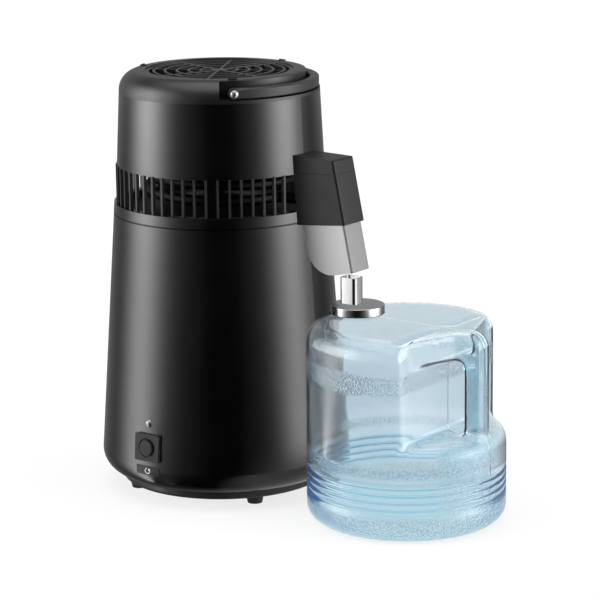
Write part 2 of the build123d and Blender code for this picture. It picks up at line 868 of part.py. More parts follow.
def steam_dome():
    bore_r = coil_tube_r + seat_gap
    return turned(
        (
            (dome_r, dome_z),
            (dome_r, dome_z + dome_sheet),
            (dome_flange_in_r, dome_z + dome_sheet),
            (collar_r, dome_top_z),
            (collar_r, dome_top_z + dome_collar_height),
            (bore_r, dome_top_z + dome_collar_height),
            (bore_r, dome_top_z - dome_sheet),
            (dome_flange_in_r - dome_sheet, dome_z),
        )
    )


def dome_gasket():
    return ring(pot_r - pot_sheet + gasket_width / 2, pot_r - pot_sheet - gasket_width / 2, seam_z, dome_z)


def biarc(start, start_way, end, end_way):
    """Two tangent arcs from one point and direction to another."""
    chord = end - start
    ways = start_way + end_way
    bend = 2 * (1 - start_way.dot(end_way))
    along = chord.dot(ways)
    reach = (sqrt(along**2 + bend * chord.dot(chord)) - along) / bend
    middle = (start + end + (start_way - end_way) * reach) * 0.5
    first = TangentArc(start, middle, tangent=start_way)
    return [first, TangentArc(middle, end, tangent=first % 1)]


def coil_path():
    """Steam riser, run out to the coil, three falling turns and the outlet along +X."""
    exit_angle = -degrees(asin(coil_exit_bend_r / (coil_r + coil_exit_bend_r)))
    swing = sqrt((coil_r - coil_entry_bend_r) ** 2 - coil_entry_bend_r**2)
    run_angle = exit_angle - degrees(asin(coil_entry_bend_r / (coil_r - coil_entry_bend_r)))
    run_way = polar(1, run_angle)
    foot = Vector(0, 0, dome_top_z)
    bend = Vector(0, 0, coil_top_z - coil_riser_bend_r)
    turn = run_way * coil_riser_bend_r + Vector(0, 0, coil_top_z)
    entry = run_way * swing + Vector(0, 0, coil_top_z)
    path = [Line(foot, bend), TangentArc(bend, turn, tangent=(0, 0, 1)), Line(turn, entry)]
    path.append(TangentArc(entry, polar(coil_r, exit_angle, coil_top_z), tangent=run_way))
    halves = 2 * coil_turns
    fall = atan(coil_pitch / (2 * pi * coil_r))
    for half in range(halves):
        ends = []
        for step in (half, half + 1):
            angle = exit_angle + 180.0 * step
            slope = 0 if step in (0, halves) else fall
            way = polar(cos(slope), angle + 90, -sin(slope))
            ends += [polar(coil_r, angle, coil_top_z - coil_pitch * step / 2), way]
        path += biarc(*ends)
    leave = Vector((coil_r + coil_exit_bend_r) * cos(radians(exit_angle)), 0, coil_bottom_z)
    start = polar(coil_r, exit_angle, coil_bottom_z)
    path.append(TangentArc(start, leave, tangent=polar(1, exit_angle + 90)))
    outlet_x = ring_r + spout_reach * coil_exit_share
    path.append(Line(leave, Vector(outlet_x, 0, coil_bottom_z)))
    return Wire(path)


def condenser_coil():
    path = coil_path()
    section = Plane(origin=path @ 0, z_dir=path % 0) * Circle(coil_tube_r)
    print("coil length", round(path.length), "least gap between turns", coil_pitch - 2 * coil_tube_r)
    return sweep(section, path=path)


def coil_brackets():
    in_r = coil_r + coil_tube_r + seat_gap
    foot_z = dome_z + dome_sheet
    strip = block(bracket_thickness, bracket_width, foot_z, coil_top_z + coil_tube_r)
    strip = Pos(in_r + bracket_thickness / 2, 0, 0) * strip
    foot = block(bracket_foot, bracket_width, foot_z, foot_z + bracket_thickness)
    strip += Pos(in_r + bracket_foot / 2, 0, 0) * foot
    return Compound(children=[Rot(0, 0, angle) * strip for angle in angles(bracket_count, bracket_angle)])


# Head: fan, motor and bracket


def motor_bracket():
    hub_r = motor_r + spider_hub_margin
    spider = drum(hub_r, spider_bottom_z, spider_top_z)
    length = cover_post_circle_r + cover_post_r
    arm = Pos(length / 2, 0, 0) * block(length, spider_arm, spider_bottom_z, spider_top_z)
    spider += [Rot(0, 0, angle) * arm for angle in angles(cover_post_count, cover_post_angle)]
    spider -= drum(motor_boss_r + seat_gap, spider_bottom_z - overrun, spider_top_z + overrun)
    for angle in angles(cover_post_count, cover_post_angle):
        hole = polar(cover_post_circle_r, angle)
        spider -= drum(spider_screw_r + running_gap, spider_bottom_z - overrun, spider_top_z + overrun, hole)
    return spider


def bracket_screws():
    tip_z = spider_top_z + spider_screw_length - seat_gap
    screw = drum(spider_screw_head_r, spider_bottom_z - spider_screw_head_height, spider_bottom_z)
    screw += drum(spider_screw_r, spider_bottom_z - root_depth, tip_z)
    places = [polar(cover_post_circle_r, angle) for angle in angles(cover_post_count, cover_post_angle)]
    return Compound(children=[Pos(*place) * screw for place in places])


def fan_motor():
    motor = drum(motor_r, motor_bottom_z, spider_bottom_z)
    low_edge = motor.faces().sort_by(Axis.Z)[0].edges()
    motor = fillet(low_edge, motor_boss_height / 2)
    motor += drum(motor_boss_r, spider_bottom_z - root_depth, boss_top_z)
    return motor - drum(shaft_r + running_gap, boss_top_z - motor_bore_depth, boss_top_z + overrun)


def fan_shaft():
    low_z = boss_top_z - motor_bore_depth + seat_gap
    return drum(shaft_r, low_z, fan_top_z + fan_nut_height + fan_shaft_tip)


def blade_section(radius, chord, pitch):
    middle_z = (fan_bottom_z + fan_top_z) / 2
    plane = Plane(origin=(radius, 0, middle_z), x_dir=(0, 1, 0), z_dir=(1, 0, 0))
    round_r = fan_blade_thickness * fan_blade_round_share
    return plane * Rot(0, 0, pitch) * RectangleRounded(chord, fan_blade_thickness, round_r)


def fan_blades():
    hub = drum(fan_hub_r, fan_bottom_z, fan_top_z)
    root = blade_section(fan_hub_r - fan_blade_thickness, fan_root_chord, fan_root_pitch)
    tip = blade_section(fan_r, fan_tip_chord, fan_tip_pitch)
    blade = loft([root, tip], ruled=True)
    blade &= drum(fan_r, fan_bottom_z - overrun, fan_top_z + overrun)
    fan = hub + [Rot(0, 0, angle) * blade for angle in angles(fan_blade_count, 0)]
    return fan - drum(shaft_r, fan_bottom_z - overrun, fan_top_z + overrun)


def fan_nut():
    outline = RegularPolygon(fan_nut_across_flats / 2, 6, major_radius=False)
    nut = extrude(Pos(0, 0, fan_top_z) * outline, fan_nut_height, dir=(0, 0, 1))
    return nut - drum(shaft_r, fan_top_z - overrun, fan_top_z + fan_nut_height + overrun)


# Carrying handle


def carry_handle():
    low_z = handle_z - handle_height / 2
    strap = sector(handle_out_r, handle_in_r, low_z, low_z + handle_height, handle_angle, 180)
    long_edges = [edge for edge in strap.edges() if edge.geom_type == GeomType.CIRCLE]
    strap = eased(long_edges, handle_edge_r, handle_thickness / 3)
    for angle in (handle_angle, handle_angle + 180):
        plane = Plane(origin=polar(0, 0, handle_z), z_dir=polar(1, angle))
        strap += plane * slab(Circle(handle_height / 2), handle_in_r, lug_face_r())
    return strap - pivot_holes(pivot_screw_r + running_gap)


def lug_face_r():
    """Reach of a handle lug, whose flat end stays inside the strap's round outside."""
    return sqrt(handle_out_r**2 - (handle_height / 2) ** 2)


def handle_screws():
    screws = []
    for angle in (handle_angle, handle_angle + 180):
        plane = Plane(origin=polar(0, 0, handle_z), z_dir=polar(1, angle))
        head = dome_head(pivot_head_r, pivot_head_height, handle_out_r + seat_gap)
        shank = slab(Circle(pivot_screw_r), recess_r - cover_wall, handle_out_r + seat_gap + root_depth)
        screws.append(plane * (head + shank))
    return Compound(children=screws)


# Spout


def leaning(depth, height):
    """Point of the spout's side view: depth inward from its front face, height up along it."""
    x = spout_front_x - depth * cos(spout_lean) - height * sin(spout_lean)
    return x, spout_front_z - depth * sin(spout_lean) + height * cos(spout_lean)


def spout_line_z(x, front_z, slope):
    return front_z - (spout_front_x - x) * tan(radians(slope))


def spout_side(inset, overlap):
    """Side view of the whole spout box, from inside the head's skin to its leaning front."""
    back_x = shell_bottom_r / 2
    front_low = leaning(inset, -overlap)
    front_top = leaning(inset, spout_front_height - inset)
    low_z = spout_line_z(back_x, spout_front_z, spout_bottom_slope) - overlap
    top_z = seam_z + spout_back_rise - inset
    return make_face(Polyline((back_x, low_z), front_low, front_top, (back_x, top_z), close=True))


def spout_above():
    """Space above the seam between the spout's housing and its cover."""
    front = leaning(0, spout_front_height * spout_seam_share)
    back_x = shell_bottom_r / 2 - overrun
    back_z = spout_line_z(back_x, front[1], spout_bottom_slope / 2)
    high_z = cover_top_z
    far_x = spout_front_x + overrun
    far_z = spout_line_z(far_x, front[1], spout_bottom_slope / 2)
    face = make_face(Polyline((back_x, back_z), (far_x, far_z), (far_x, high_z), (back_x, high_z), close=True))
    return side_prism(face, spout_half_width + overrun)


def head_skin():
    """Space that the head's outside takes, with room for the spout to seat against it."""
    room = seat_gap
    high_z = cover_top_z
    shell_z = shell_bottom_z
    return turned(
        (
            (0, ring_bottom_z - overrun * 2),
            (ring_r + room, ring_bottom_z - overrun * 2),
            (ring_r + room, ring_bottom_z),
            (shell_bottom_r + vent_collar_proud + room, shell_z),
            (shell_r(high_z) + room, high_z),
            (0, high_z),
        )
    )


def spout_block(inset, overlap):
    form = side_prism(spout_side(inset, overlap), spout_half_width - inset)
    if inset == 0:
        front = form.edges().filter_by(lambda edge: edge.center().X > ring_r + spout_edge_r)
        form = fillet(front.filter_by(lambda edge: edge.center().Z > spout_front_z), spout_edge_r)
    return form - head_skin()


def spout_housing():
    return spout_block(0, 0) - spout_block(spout_wall, overrun) - spout_above()


def spout_cover():
    return (spout_block(0, 0) - spout_block(spout_wall, overrun)) & spout_above()


def chute_form(inset, top):
    """Tilted box with a large round at its back corner, moved inward by an inset."""
    front = chute_front_inset + inset
    back = chute_back_inset - inset
    low = inset - chute_drop
    face = make_face(
        Polyline(leaning(front, low), leaning(back, low), leaning(back, top), leaning(front, top), close=True)
    )
    corner = face.vertices().sort_by_distance(leaning(back, low))[0]
    form = side_prism(fillet(corner, chute_corner_r - inset), chute_half_width - inset)
    upright = form.edges().filter_by(Axis((0, 0, 0), (-sin(spout_lean), 0, cos(spout_lean))))
    front_edges = upright.sort_by(Axis.X)[-2:]
    return fillet(front_edges, chute_edge_r - inset)


def spout_chute():
    chute = chute_form(0, chute_hidden) - chute_form(chute_sheet, chute_hidden + overrun)
    return chute - drum(chute_drain_r, jug_height, spout_front_z - chute_drop / 2, (tube_x, 0))


# Jug


def jug_side_line(inset):
    """Side of the lower body, from the foot's round up to the shoulder: ribbed outside, plain inside."""
    radius = jug_r - inset
    parts = []
    z = jug_foot_r
    for rib in range(0 if inset else jug_rib_count):
        middle = jug_rib_first_z + rib * jug_rib_pitch
        low, high = middle - jug_rib_width / 2, middle + jug_rib_width / 2
        parts.append(Line((radius, z), (radius, low)))
        parts.append(ThreePointArc((radius, low), (radius - jug_rib_depth, middle), (radius, high)))
        z = high
    parts.append(Line((radius, z), (radius, jug_lower_height - jug_lower_shoulder_r)))
    return parts


def jug_lower(inset):
    radius = jug_r - inset
    foot_r_here = jug_foot_r - inset
    flat_r = radius - foot_r_here
    lean = 1 / sqrt(2)
    foot_mid = (flat_r + foot_r_here * lean, jug_foot_r - foot_r_here * lean)
    shoulder_r_here = jug_lower_shoulder_r - inset
    shoulder_z = jug_lower_height - jug_lower_shoulder_r
    top_r = radius - shoulder_r_here
    top_z = jug_lower_height - inset
    shoulder_mid = (top_r + shoulder_r_here * lean, shoulder_z + shoulder_r_here * lean)
    outline = [Line((0, inset), (flat_r, inset))]
    outline.append(ThreePointArc((flat_r, inset), foot_mid, (radius, jug_foot_r)))
    outline += jug_side_line(inset)
    outline.append(ThreePointArc((radius, shoulder_z), shoulder_mid, (top_r, top_z)))
    outline += [Line((top_r, top_z), (0, top_z)), Line((0, top_z), (0, inset))]
    return revolve(Plane.XZ * make_face(outline), Axis.Z)


def jug_upper(inset):
    """Upper body: a round cut off by a flat wall on the handle's side."""
    size = 2 * jug_r + overrun
    flat = Pos(jug_flat_offset - inset - size / 2, 0) * Rectangle(size, size)
    outline = Circle(jug_r - inset) & flat
    outline = fillet(outline.vertices(), jug_flat_corner_r - inset)
    low_z = jug_lower_height - jug_lower_shoulder_r - overrun
    body = slab(outline, low_z, jug_height - inset)
    return fillet(body.faces().sort_by(Axis.Z)[-1].edges(), jug_shoulder_r - inset)


def jug_grip(inset):
    """Arm and column of the handle, round-edged outside."""
    out_x = grip_inner_offset + grip_depth - inset
    in_x = grip_inner_offset + inset
    start_x = jug_flat_offset - grip_root
    top_z = jug_height - inset
    arm_z = grip_arm_z + inset
    low_z = jug_lower_height - jug_lower_shoulder_r + inset
    face = make_face(
        Polyline(
            (start_x, top_z), (out_x, top_z), (out_x, low_z), (in_x, low_z), (in_x, arm_z), (start_x, arm_z),
            close=True,
        )
    )
    outer = face.vertices().sort_by_distance((out_x, top_z))[0]
    face = fillet(outer, grip_top_r - inset)
    inner = face.vertices().sort_by_distance((in_x, arm_z))[0]
    face = fillet(inner, grip_arch_r + inset)
    form = side_prism(face, grip_width / 2 - inset)
    sides = form.faces().filter_by(Axis.Y)
    edges = [edge for side in sides for edge in side.edges() if edge.center().X > start_x + root_depth]
    edges = [edge for edge in edges if edge.center().Z > low_z + root_depth]
    return form if inset else fillet(edges, grip_edge_r)


def jug_web(inset):
    """Tapered top between the flat wall and the handle's column."""
    start_x = jug_flat_offset - grip_web_root
    end_x = jug_flat_offset + (grip_inner_offset - jug_flat_offset) * grip_web_end_share
    wide = jug_flat_half - grip_web_inset
    slim = grip_width / 2
    face = make_face(Polyline((start_x, wide), (end_x, slim), (end_x, -slim), (start_x, -wide), close=True))
    if inset:
        face = offset(face, -inset, kind=Kind.INTERSECTION)
    web = slab(face, grip_arm_z + inset, jug_height - inset)
    caps = web.faces().filter_by(Axis.Z)
    edges = [edge for cap in caps for edge in cap.edges() if abs(edge.center().Y) > slim]
    room = slim * (end_x - start_x) / sqrt((end_x - start_x) ** 2 + (wide - slim) ** 2)
    return fillet(edges, min(grip_web_edge_r, room * grip_web_edge_share) - inset)


def jug_form(inset):
    return jug_upper(inset) + jug_lower(inset) + jug_grip(inset) + jug_web(inset)


def jug_body():
    jug = jug_form(0)
    neck = (-mouth_offset, 0)
    jug += drum(neck_r, jug_height - neck_root, neck_top_z, neck)
    jug -= jug_form(jug_wall)
    jug -= drum(mouth_r, jug_height - neck_root - overrun, neck_top_z + overrun, neck)
    return Pos(jug_x, 0, 0) * jug


def tube_outline(inset):
    corner = tube_corner_r - inset
    return RectangleRounded(tube_length - 2 * inset, tube_width - 2 * inset, corner)


def jug_cap():
    cap = drum(cap_r, jug_height + seat_gap, cap_top_z)
    cap = fillet(cap.faces().sort_by(Axis.Z)[-1].edges(), cap_edge_r)
    cap -= drum(neck_r + seat_gap, jug_height - overrun, cap_top_z - cap_sheet)
    hole = Pos(-tube_offset, 0) * tube_outline(tube_sheet)
    cap -= slab(hole, jug_height, cap_top_z + overrun)
    return Pos(mouth_x, 0, 0) * cap


def cap_seal():
    high_z = cap_top_z - cap_sheet
    seal = ring(neck_r, neck_r - seal_width, neck_top_z, high_z)
    return Pos(mouth_x, 0, 0) * seal


def drip_tube():
    tube = tube_outline(0) - tube_outline(tube_sheet)
    return Pos(tube_x, 0, 0) * slab(tube, cap_top_z, tube_top_z)


pieces = (
    base_pan, feet, foot_screws, base_housing,
    boiler_pot, tie_rods, pan_screws, heater_plate, heating_element, heater_clamp, clamp_nut,
    boil_dry_thermostat, reset_bezel, reset_button, reset_switch, reset_label, case_screw,
    power_inlet, inlet_pins, fan_inlet, fan_inlet_pins,
    vent_ring, head_shell, top_cover, fan_grille, steam_dome, dome_gasket, condenser_coil, coil_brackets,
    motor_bracket, bracket_screws, fan_motor, fan_shaft, fan_blades, fan_nut,
    carry_handle, handle_screws, spout_housing, spout_cover, spout_chute,
    jug_body, jug_cap, cap_seal, drip_tube,
)

os.makedirs("parts", exist_ok=True)
for piece in pieces:
    export_step(piece(), f"parts/{piece.__name__}.step")
    print("wrote", piece.__name__)
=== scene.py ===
import json
from math import atan2, cos, radians, sin, tau

import bmesh
import bpy
from mathutils import Matrix, Vector

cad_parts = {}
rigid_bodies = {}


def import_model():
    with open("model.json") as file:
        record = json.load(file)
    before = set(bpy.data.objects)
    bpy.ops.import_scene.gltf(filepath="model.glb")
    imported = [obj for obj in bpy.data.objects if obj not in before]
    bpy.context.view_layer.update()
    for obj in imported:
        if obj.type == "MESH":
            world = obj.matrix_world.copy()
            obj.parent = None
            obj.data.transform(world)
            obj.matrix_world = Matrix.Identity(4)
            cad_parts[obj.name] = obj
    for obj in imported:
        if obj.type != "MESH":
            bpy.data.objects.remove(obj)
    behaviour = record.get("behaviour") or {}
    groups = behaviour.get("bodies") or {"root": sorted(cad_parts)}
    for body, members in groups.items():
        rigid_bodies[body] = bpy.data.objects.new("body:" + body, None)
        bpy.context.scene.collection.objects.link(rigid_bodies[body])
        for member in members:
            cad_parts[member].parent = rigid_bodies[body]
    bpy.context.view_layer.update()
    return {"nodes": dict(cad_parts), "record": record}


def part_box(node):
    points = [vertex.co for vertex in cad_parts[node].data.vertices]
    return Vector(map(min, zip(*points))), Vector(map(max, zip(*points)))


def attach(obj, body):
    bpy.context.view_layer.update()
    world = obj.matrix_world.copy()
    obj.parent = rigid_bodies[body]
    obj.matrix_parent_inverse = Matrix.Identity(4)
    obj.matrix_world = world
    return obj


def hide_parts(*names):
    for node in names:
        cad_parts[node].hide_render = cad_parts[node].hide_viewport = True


for left in list(bpy.data.objects):  # start from an empty file
    bpy.data.objects.remove(left)

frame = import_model()
nodes = frame["nodes"]
record = frame["record"]
bodyOf = {node: body for body, held in record["behaviour"]["bodies"].items() for node in held}
slotOf = {row["node"]: row["material_slot"] for row in record["subparts"]}
mm = 0.001
scene = bpy.context.scene
scene.view_settings.view_transform = "Standard"
print("frame loaded:", len(nodes), "nodes")

# Camera
camera = {
    "spot": (1.3932, -1.7674, 0.6905),
    "bearing": 37.766, "yaw": 1.294, "pitch": 13.121, "roll": 0.596,  # degrees
    "lens": 152.66, "sensor": 36.0,  # mm
    "farthest": 50.0,
}


def setCamera():
    turn, yaw, pitch, roll = (radians(camera[k]) for k in ("bearing", "yaw", "pitch", "roll"))
    right = Vector((cos(turn), sin(turn), 0))
    away = Vector((-sin(turn), cos(turn), 0))
    level = right * sin(yaw) * cos(pitch) + away * cos(yaw) * cos(pitch)
    look = level - Vector((0, 0, sin(pitch)))
    side = look.cross(Vector((0, 0, 1))).normalized()
    up = side.cross(look)
    side, up = side * cos(roll) - up * sin(roll), up * cos(roll) + side * sin(roll)
    data = bpy.data.cameras.new("photoCamera")
    data.lens, data.sensor_width = camera["lens"], camera["sensor"]
    data.clip_end = camera["farthest"]
    cam = bpy.data.objects.new("photoCamera", data)
    rows = [(side[i], up[i], -look[i], camera["spot"][i]) for i in range(3)]
    cam.matrix_world = Matrix((*rows, (0, 0, 0, 1)))
    scene.collection.objects.link(cam)
    scene.camera = cam
    return right, away


rightWay, awayWay = setCamera()
print("camera set")


# Node helpers
def newFinish(name):
    mat = bpy.data.materials.new(name)
    mat.use_nodes = True
    return mat, mat.node_tree, mat.node_tree.nodes["Principled BSDF"]


def plug(tree, node, sockets):  # links or plain values, by the socket's name or as i0, i1
    for key, value in sockets.items():
        numbered = key[0] == "i" and key[1:].isdigit()
        socket = node.inputs[int(key[1:]) if numbered else key]
        if isinstance(value, bpy.types.NodeSocket):
            tree.links.new(value, socket)
        else:
            socket.default_value = value


def addNode(tree, kind, settings=None, **sockets):
    node = tree.nodes.new(kind)
    for key, value in (settings or {}).items():
        setattr(node, key, value)
    plug(tree, node, sockets)
    return node


def math(tree, how, a, b=0.0, c=0.0):
    return addNode(tree, "ShaderNodeMath", {"operation": how}, i0=a, i1=b, i2=c).outputs[0]


def times(tree, first, *others):
    for other in others:
        first = math(tree, "MULTIPLY", first, other)
    return first


def plus(tree, first, *others):
    for other in others:
        first = math(tree, "ADD", first, other)
    return first


def without(tree, share):  # what a share leaves of one
    return math(tree, "SUBTRACT", 1.0, share)


def vector(tree, how, a, b=(0, 0, 0), out=0):
    return addNode(tree, "ShaderNodeVectorMath", {"operation": how}, i0=a, i1=b).outputs[out]


def along(tree, place, way):
    return vector(tree, "DOT_PRODUCT", place, tuple(way), "Value")


def between(tree, value, low, high, fromLow=0.3, fromHigh=0.7, soft="LINEAR"):
    settings = {"interpolation_type": soft}
    ends = {"i1": fromLow, "i2": fromHigh, "i3": low, "i4": high}
    return addNode(tree, "ShaderNodeMapRange", settings, i0=value, **ends).outputs[0]


def mixed(tree, share, below, above):
    settings = {"data_type": "RGBA"}
    return addNode(tree, "ShaderNodeMix", settings, i0=share, i6=below, i7=above).outputs[2]


def ownPlace(tree):
    return addNode(tree, "ShaderNodeTexCoord").outputs["Object"]


def parted(tree, place):  # x, y and z of a vector
    return addNode(tree, "ShaderNodeSeparateXYZ", i0=place).outputs


def noise(tree, place, scale, detail):
    return addNode(tree, "ShaderNodeTexNoise", Vector=place, Scale=scale, Detail=detail).outputs[0]


def grain(tree, scale, detail=2.0, stretch=(1, 1, 1)):  # noise in the piece's own metres
    spread = addNode(tree, "ShaderNodeMapping", i0=ownPlace(tree), i3=stretch).outputs[0]
    return noise(tree, spread, scale, detail)


def tint(tree, value, dark, light, start=0.3, stop=0.7):
    ramp = addNode(tree, "ShaderNodeValToRGB", i0=value)
    ends = ramp.color_ramp.elements
    ends[0].position, ends[1].position = start, stop
    ends[0].color, ends[1].color = (*dark, 1), (*light, 1)
    return ramp.outputs[0]


def bump(tree, bsdf, height, strength, depth):
    node = addNode(tree, "ShaderNodeBump", Strength=strength, Distance=depth, Height=height)
    plug(tree, bsdf, {"Normal": node.outputs[0]})


def fromAxis(tree, centre):  # distance from an upright axis
    off = vector(tree, "SUBTRACT", ownPlace(tree), (*centre, 0))
    return vector(tree, "LENGTH", vector(tree, "MULTIPLY", off, (1, 1, 0)), out="Value")


# Finishes
satin = {"cloud": 35, "drift": 60, "driftDetail": 3, "relief": 0.25}  # colour, gloss, grain
brushed = {"lines": 900, "relief": 0.2, "depth": 0.00002}
spun = {"lines": 2600.0, "detail": 3.0, "relief": 0.15, "depth": 0.00002}
# bowl and rim grey; the rim's near black is painted shade, for the rim that shows in the seam
# between housing and vent ring
pot = {"bowl": 0.5, "rim": 0.012, "rimShadeFrom": (0.0925, 0.0938), "rough": (0.25, 0.4), "grain": 500}
# the outer face gets a darker grey than the cheeks: painted shade by the way a face points
chute = {
    "cheek": (0.46, 0.52), "outer": (0.2, 0.24),  # dark and light grey of each kind of face
    "turn": (0.3, 0.8),  # how far out a face looks where cheek passes into outer
    "rough": (0.6, 0.68), "stretch": (1, 1, 0.04),
}


def grey(level):
    return level, level, level


def metal(tree, bsdf, colour, rough):
    plug(tree, bsdf, {"Base Color": colour, "Roughness": rough, "Metallic": 1.0})


def satinFinish(name, dark, light, rough, grainSize, grainDepth, shine=0.5):
    mat, tree, bsdf = newFinish(name)
    drift = grain(tree, satin["drift"], satin["driftDetail"])
    plug(tree, bsdf, {
        "Base Color": tint(tree, grain(tree, satin["cloud"]), dark, light),
        "Roughness": between(tree, drift, *rough),
        "Specular IOR Level": shine,
    })
    bump(tree, bsdf, grain(tree, grainSize), satin["relief"], grainDepth)
    return mat


def steelFinish(name, dark, light, rough, stretch=(1, 1, 1), lines=None, depth=None):
    mat, tree, bsdf = newFinish(name)
    brush = grain(tree, lines or brushed["lines"], stretch=stretch)
    metal(tree, bsdf, tint(tree, brush, dark, light), between(tree, brush, *rough))
    bump(tree, bsdf, brush, brushed["relief"], depth or brushed["depth"])
    return mat


def spunSteel(name, centre, dark, light, rough):  # turned rings round an upright axis
    mat, tree, bsdf = newFinish(name)
    line = addNode(tree, "ShaderNodeCombineXYZ", i0=fromAxis(tree, centre)).outputs[0]
    rings = noise(tree, line, spun["lines"], spun["detail"])
    metal(tree, bsdf, tint(tree, rings, dark, light), between(tree, rings, *rough))
    bump(tree, bsdf, rings, spun["relief"], spun["depth"])
    return mat


def potSteelPaintedRimShade(name):  # bright bowl, with painted shade on its rim
    mat, tree, bsdf = newFinish(name)
    reach = fromAxis(tree, (0, 0))
    colour = tint(tree, reach, grey(pot["bowl"]), grey(pot["rim"]), *pot["rimShadeFrom"])
    metal(tree, bsdf, colour, between(tree, grain(tree, pot["grain"]), *pot["rough"]))
    return mat


def chuteSteelPaintedShade(name):  # cheeks lighter, outer face painted darker as painted shade
    mat, tree, bsdf = newFinish(name)
    brush = grain(tree, brushed["lines"], stretch=chute["stretch"])
    paintedShadeFacing = along(tree, addNode(tree, "ShaderNodeTexCoord").outputs["Normal"], (1, 0, 0))
    cheek, outer = (tint(tree, brush, *map(grey, chute[face])) for face in ("cheek", "outer"))
    share = between(tree, paintedShadeFacing, 0.0, 1.0, *chute["turn"])
    metal(tree, bsdf, mixed(tree, share, cheek, outer), between(tree, brush, *chute["rough"]))
    bump(tree, bsdf, brush, brushed["relief"], brushed["depth"])
    return mat


# Clear blue plastic of the jug, heights and reaches in metres
jug = {
    "axis": 0.200274, "wall": 0.0021, "rim": 0.1783,
    "joint": 0.056, "strip": 0.0006,  # where foot and blown form meet, half the strip between
    "voxel": 0.002, "rounds": 12, "ease": 0.5,  # evening out and smoothing
    "neckUp": 0.006,  # the closed neck stands higher, so that smoothing spares the rim
}
clear = {
    "through": 0.96, "ior": 1.4, "rough": 0.05,
    "absorbs": (0.12, 0.62, 0.82, 1), "density": 80.0,
    "body": (0.83, 0.865, 0.9, 1),
    "grip": (0.86, 0.98, 1, 1), "gripFrom": (jug["axis"] + 0.066, jug["axis"] + 0.07),
}
zones = (  # x or z, where it begins, where it is full, colour
    (2, 0.15, 0.172, (0.95, 0.975, 0.985, 1)),  # shoulder
    (0, jug["axis"] + 0.01, jug["axis"] + 0.05, (0.88, 0.925, 0.955, 1)),  # flat wall
    (2, 0.08, 0.07, (0.93, 0.965, 0.98, 1)),  # waist
    (2, 0.056, 0.046, (0.8, 0.91, 0.95, 1)),  # foot
)
pebbled = (  # low, high, reach towards the handle
    (0.004, 0.024, 0.2),
    (0.056, 0.068, 0.2),
    (0.127, 0.148, 0.052),
)
pebble = {
    "scale": 680.0, "shade": (0.6, 0.7, 0.76), "shadeFrom": (0.3, 0.6),
    "fade": 0.004, "endFade": 0.012,  # soft ends of a band, up and along
    "grip": 0.6, "gripTop": (0.13, 0.142),  # fainter on the handle, and none at its top
}
ribs = {  # grooves of the foot, with a painted shade line along each
    "first": 0.0293, "pitch": 0.0063, "count": 4,
    "line": (0.2, 0.95), "colour": (0.5, 0.78, 0.9, 1),
}
blown = {  # relief of the skin
    "wave": 40, "waveShare": 0.5, "seam": (0.0002, 0.0009), "seamShare": 0.35,
    "pebbleShare": 0.6, "strength": 0.55, "depth": 0.0011,
}


def pebbleBands(tree, place, grip):
    bands = times(tree, grip, pebble["grip"], between(tree, place[2], 1.0, 0.0, *pebble["gripTop"]))
    for low, high, reach in pebbled:
        far = jug["axis"] + reach
        start = between(tree, place[2], 0.0, 1.0, low, low + pebble["fade"])
        stop = between(tree, place[2], 1.0, 0.0, high - pebble["fade"], high)
        end = between(tree, place[0], 1.0, 0.0, far - pebble["endFade"], far)
        bands = math(tree, "MAXIMUM", bands, times(tree, start, stop, end))
    return bands


def ribShadeLines(tree, height):  # painted shade: a dark line along each groove
    turns = times(tree, math(tree, "SUBTRACT", height, ribs["first"]), tau / ribs["pitch"])
    wavy = math(tree, "COSINE", turns)
    middle = ribs["first"] + (ribs["count"] - 1) / 2 * ribs["pitch"]
    inRibs = math(tree, "COMPARE", height, middle, ribs["count"] / 2 * ribs["pitch"])
    return times(tree, inRibs, between(tree, wavy, 0.0, 1.0, *ribs["line"]))


def clearBlue(name):
    mat, tree, bsdf = newFinish(name)
    place = parted(tree, ownPlace(tree))
    grip = between(tree, place[0], 0.0, 1.0, *clear["gripFrom"])
    bands = pebbleBands(tree, place, grip)
    cells = {"Vector": ownPlace(tree), "Scale": pebble["scale"]}
    pebbles = addNode(tree, "ShaderNodeTexVoronoi", {"feature": "F1"}, **cells).outputs["Distance"]
    colour = clear["body"]
    for axis, start, full, shade in zones:
        colour = mixed(tree, between(tree, place[axis], 0.0, 1.0, start, full), colour, shade)
    colour = mixed(tree, grip, colour, clear["grip"])
    colour = mixed(tree, ribShadeLines(tree, place[2]), colour, ribs["colour"])
    speck = tint(tree, pebbles, (1, 1, 1), pebble["shade"], *pebble["shadeFrom"])
    plug(tree, bsdf, {
        "Base Color": mixed(tree, bands, colour, speck),
        "Transmission Weight": clear["through"],
        "IOR": clear["ior"],
        "Roughness": clear["rough"],
    })
    wave = times(tree, grain(tree, blown["wave"]), blown["waveShare"])
    seam = between(tree, math(tree, "ABSOLUTE", place[1]), 1.0, 0.0, *blown["seam"])
    seam = times(tree, seam, blown["seamShare"])
    relief = plus(tree, wave, seam, times(tree, bands, blown["pebbleShare"], pebbles))
    bump(tree, bsdf, relief, blown["strength"], blown["depth"])
    body = {"Color": clear["absorbs"], "Density": clear["density"]}
    volume = addNode(tree, "ShaderNodeVolumeAbsorption", **body).outputs[0]
    plug(tree, tree.nodes["Material Output"], {"Volume": volume})
    return mat


# Finish of each slot, and of the nodes with a look of their own
def satins(rows):  # name, dark, light, roughness, grain size, grain depth, shine
    return {slot: satinFinish(*row) for slot, row in rows.items()}


def steels(rows):  # name, dark, light, roughness, stretch, lines, depth of the brushing
    return {slot: steelFinish(*row) for slot, row in rows.items()}


